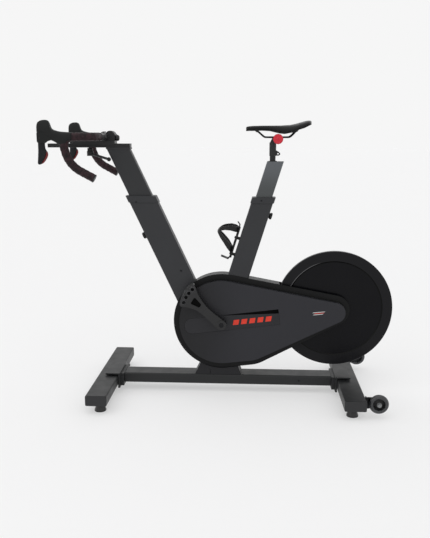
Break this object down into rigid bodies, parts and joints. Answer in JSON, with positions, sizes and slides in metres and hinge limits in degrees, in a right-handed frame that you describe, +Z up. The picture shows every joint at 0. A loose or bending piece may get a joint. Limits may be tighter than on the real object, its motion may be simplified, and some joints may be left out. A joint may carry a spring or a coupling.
{
  "type": "exercise bike",
  "caption": "Indoor cycle with a steel base, belt-drive housing, rear flywheel, drop bar, short saddle and telescoping posts.",
  "frame": {"origin": "on the floor, under the middle of the bike's bounding box, 288 mm below the crank axle", "axes": "+Z up, +X towards the flywheel (rear), -X towards the handlebar, rider's left is -Y"},
  "size_m": [1.3381, 0.589, 1.0688],
  "materials": {
    "frame_paint": "satin textured powder coat, charcoal",
    "frame_dark": "satin powder coat, near black",
    "cover_plastic": "fine-textured moulded plastic",
    "strip_plastic": "smooth satin inlay",
    "black_plastic": "moulded black plastic",
    "rubber": "matte rubber",
    "bolt_steel": "zinc-plated steel",
    "black_steel": "black oxide",
    "flywheel_paint": "satin black painted iron",
    "crank_alloy": "black anodised aluminium",
    "rail_alloy": "grey anodised aluminium",
    "bar_alloy": "dark satin aluminium",
    "tape": "bar tape, dark with maroon pattern",
    "hood_rubber": "ribbed hood rubber",
    "lever_red": "red moulded plastic",
    "knob_red": "red moulded plastic",
    "saddle_cover": "synthetic leather",
    "wheel_pu": "clear polyurethane tyre on a dark hub"
  },
  "bodies": {
    "frame": {"base_spine": "frame_paint", "front_stabilizer": "frame_paint", "rear_stabilizer": "frame_paint", "stabilizer_brackets": "frame_paint", "bracket_pads": "rubber", "stabilizer_end_caps": "black_plastic", "wheel_axles": "bolt_steel", "pedestal": "frame_paint", "side_plate_left": "frame_dark", "side_plate_right": "frame_dark", "frame_shell": "frame_paint", "bearings": "bolt_steel", "left_cover": "cover_plastic", "right_cover": "cover_plastic", "badge_strips": "strip_plastic", "frame_screws": "black_steel", "front_post_outer": "frame_paint", "front_post_collar": "frame_paint", "seat_post_outer": "frame_paint", "seat_post_collar": "frame_paint", "bottle_cage": "black_plastic", "resistance_unit": "black_plastic", "power_inlet": "black_plastic", "drive_belt": "rubber", "wheel_brackets": "black_steel"},
    "levelling_foot_front_left": {"foot_front_left": "bolt_steel"},
    "levelling_foot_front_right": {"foot_front_right": "bolt_steel"},
    "levelling_foot_rear_left": {"foot_rear_left": "bolt_steel"},
    "levelling_foot_rear_right": {"foot_rear_right": "bolt_steel"},
    "crank": {"crank_axle": "bolt_steel", "crank_arm_left": "crank_alloy", "crank_arm_right": "crank_alloy", "crank_bolts": "bolt_steel", "drive_pulley": "black_plastic"},
    "flywheel_set": {"flywheel": "flywheel_paint", "flywheel_shaft": "bolt_steel", "flywheel_pulley": "bolt_steel"},
    "handlebar_post": {"front_post_inner": "frame_paint", "handlebar_rail": "rail_alloy"},
    "carriage": {"bar_carriage": "rail_alloy", "stem_clamp": "rail_alloy", "handlebar": "bar_alloy", "bar_tape": "tape", "brake_hoods": "hood_rubber"},
    "lever_left": {"brake_lever_left": "crank_alloy"},
    "lever_right": {"brake_lever_right": "crank_alloy"},
    "paddle_left": {"shift_paddle_left": "lever_red"},
    "paddle_right": {"shift_paddle_right": "lever_red"},
    "carriage_lock": {"rail_lever": "black_plastic"},
    "saddle_post": {"seat_post_inner": "frame_paint", "saddle_head": "crank_alloy"},
    "tilt_clamp": {"saddle_clamp": "bolt_steel"},
    "clamp_knob": {"saddle_knob": "knob_red"},
    "saddle": {"saddle_shell": "black_plastic", "saddle_pad": "saddle_cover", "saddle_rails": "bolt_steel"},
    "front_knob": {"front_lock_knob": "black_plastic"},
    "seat_knob": {"seat_lock_knob": "black_plastic"},
    "transport_wheel_left": {"wheel_left": "wheel_pu"},
    "transport_wheel_right": {"wheel_right": "wheel_pu"}
  },
  "joints": [
    {"name": "foot_screw_front_left", "type": "hinge", "parent": "frame", "child": "levelling_foot_front_left", "pos_m": [-0.445, -0.25, 0], "axis": [0, 0, 1], "continuous": true},
    {"name": "foot_screw_front_right", "type": "hinge", "parent": "frame", "child": "levelling_foot_front_right", "pos_m": [-0.445, 0.25, 0], "axis": [0, 0, 1], "continuous": true},
    {"name": "foot_screw_rear_left", "type": "hinge", "parent": "frame", "child": "levelling_foot_rear_left", "pos_m": [0.491, -0.25, 0], "axis": [0, 0, 1], "continuous": true},
    {"name": "foot_screw_rear_right", "type": "hinge", "parent": "frame", "child": "levelling_foot_rear_right", "pos_m": [0.491, 0.25, 0], "axis": [0, 0, 1], "continuous": true},
    {"name": "crank_spin", "type": "hinge", "parent": "frame", "child": "crank", "pos_m": [0, 0, 0.288], "axis": [0, 1, 0], "continuous": true},
    {"name": "flywheel_spin", "type": "hinge", "parent": "frame", "child": "flywheel_set", "pos_m": [0.4395, 0, 0.343], "axis": [0, 1, 0], "continuous": true},
    {"name": "handlebar_height", "type": "slide", "parent": "frame", "child": "handlebar_post", "axis": [-0.4226, 0, 0.9063], "range_m": [-0.18, 0.1]},
    {"name": "handlebar_reach", "type": "slide", "parent": "handlebar_post", "child": "carriage", "axis": [-1, 0, 0], "range_m": [-0.03, 0.09]},
    {"name": "brake_left", "type": "hinge", "parent": "carriage", "child": "lever_left", "pos_m": [-0.634, -0.21, 1.002], "axis": [0, -1, 0], "range_deg": [0, 22], "stiffness_Nm_per_rad": 3, "springref_deg": -5.73},
    {"name": "shift_left", "type": "hinge", "parent": "lever_left", "child": "paddle_left", "pos_m": [-0.624, -0.21, 0.945], "axis": [0, 0, 1], "range_deg": [0, 12], "stiffness_Nm_per_rad": 0.6, "springref_deg": -5.73},
    {"name": "brake_right", "type": "hinge", "parent": "carriage", "child": "lever_right", "pos_m": [-0.634, 0.21, 1.002], "axis": [0, -1, 0], "range_deg": [0, 22], "stiffness_Nm_per_rad": 3, "springref_deg": -5.73},
    {"name": "shift_right", "type": "hinge", "parent": "lever_right", "child": "paddle_right", "pos_m": [-0.624, 0.21, 0.945], "axis": [0, 0, -1], "range_deg": [0, 12], "stiffness_Nm_per_rad": 0.6, "springref_deg": -5.73},
    {"name": "carriage_lock_turn", "type": "hinge", "parent": "carriage", "child": "carriage_lock", "pos_m": [-0.51, 0, 0.94], "axis": [0, 0, 1], "range_deg": [-90, 0]},
    {"name": "saddle_height", "type": "slide", "parent": "frame", "child": "saddle_post", "axis": [0.2957, 0, 0.9553], "range_m": [-0.12, 0.16]},
    {"name": "saddle_tilt", "type": "hinge", "parent": "saddle_post", "child": "tilt_clamp", "pos_m": [0.209, 0, 0.999], "axis": [0, 1, 0], "range_deg": [-10, 10]},
    {"name": "saddle_fore_aft", "type": "slide", "parent": "tilt_clamp", "child": "saddle", "axis": [1, 0, 0], "range_m": [-0.012, 0.018]},
    {"name": "clamp_knob_turn", "type": "hinge", "parent": "tilt_clamp", "child": "clamp_knob", "pos_m": [0.209, -0.04, 0.999], "axis": [0, 1, 0], "continuous": true},
    {"name": "front_knob_turn", "type": "hinge", "parent": "frame", "child": "front_knob", "pos_m": [-0.2989, 0, 0.63053], "axis": [0.9063, 0, 0.4226], "continuous": true},
    {"name": "seat_knob_turn", "type": "hinge", "parent": "frame", "child": "seat_knob", "pos_m": [0.17977, 0, 0.70854], "axis": [0.9553, 0, -0.2957], "continuous": true},
    {"name": "wheel_spin_left", "type": "hinge", "parent": "frame", "child": "transport_wheel_left", "pos_m": [0.582, -0.27, 0.055], "axis": [0, 1, 0], "continuous": true},
    {"name": "wheel_spin_right", "type": "hinge", "parent": "frame", "child": "transport_wheel_right", "pos_m": [0.582, 0.27, 0.055], "axis": [0, 1, 0], "continuous": true}
  ],
  "couplings": [
    {"joint": "flywheel_spin", "follows": "crank_spin", "ratio": 5.2083}
  ]
}
